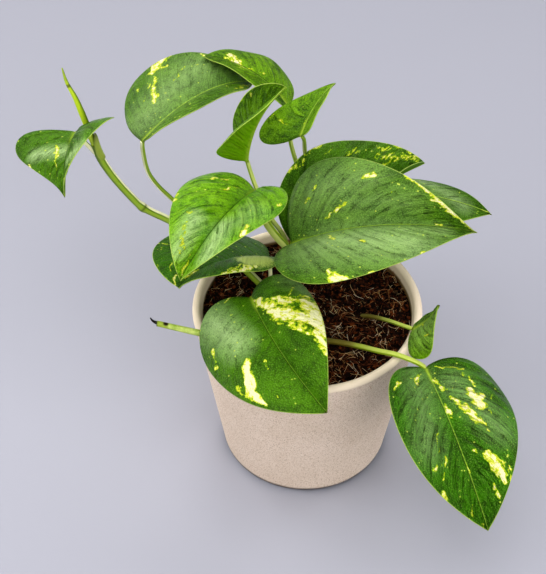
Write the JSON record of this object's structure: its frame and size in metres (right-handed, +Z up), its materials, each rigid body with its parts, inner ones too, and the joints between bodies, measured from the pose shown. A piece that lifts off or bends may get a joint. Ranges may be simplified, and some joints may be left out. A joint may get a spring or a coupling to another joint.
{
  "type": "potted pothos plant",
  "caption": "Small pothos with heart-shaped marbled leaves, a trailing vine, petioles and a cut stub, rooted in soil in a plain tapered stoneware pot",
  "frame": {"origin": "centre of the pot's flat underside", "axes": "+Z up, +X to the right and +Y to the back as the plant is looked at, so that the long vine leans to -X and the trailing leaf hangs at the front right"},
  "size_m": [0.2497, 0.2344, 0.2267],
  "materials": {
    "pot": "matt speckled stoneware",
    "soil": "loose peat and coir, matt",
    "stem": "smooth living stem, satin",
    "stub": "dry cut stem, dull",
    "spike": "rolled young leaf, satin",
    "leaf": "waxy leaf, soft gloss, yellow marbling",
    "leaf_young": "thin young leaf, soft gloss"
  },
  "bodies": {
    "root": {"pot": "pot", "soil": "soil", "vine_left": "stem", "vine_centre": "stem", "stem_back": "stem", "petiole_front": "stem", "petiole_trailing": "stem", "petiole_rim": "stem", "cut_stub": "stub", "new_leaf_spike": "spike", "leaf_front": "leaf", "leaf_trailing": "leaf", "leaf_largest": "leaf", "leaf_left": "leaf", "leaf_left_lower": "leaf", "leaf_top_left": "leaf", "leaf_top_young": "leaf_young", "leaf_rolled": "leaf_young", "leaf_young_right": "leaf_young", "leaf_behind": "leaf", "leaf_back_right": "leaf", "leaf_rim_young": "leaf_young", "leaf_far_left": "leaf"}
  },
  "joints": []
}
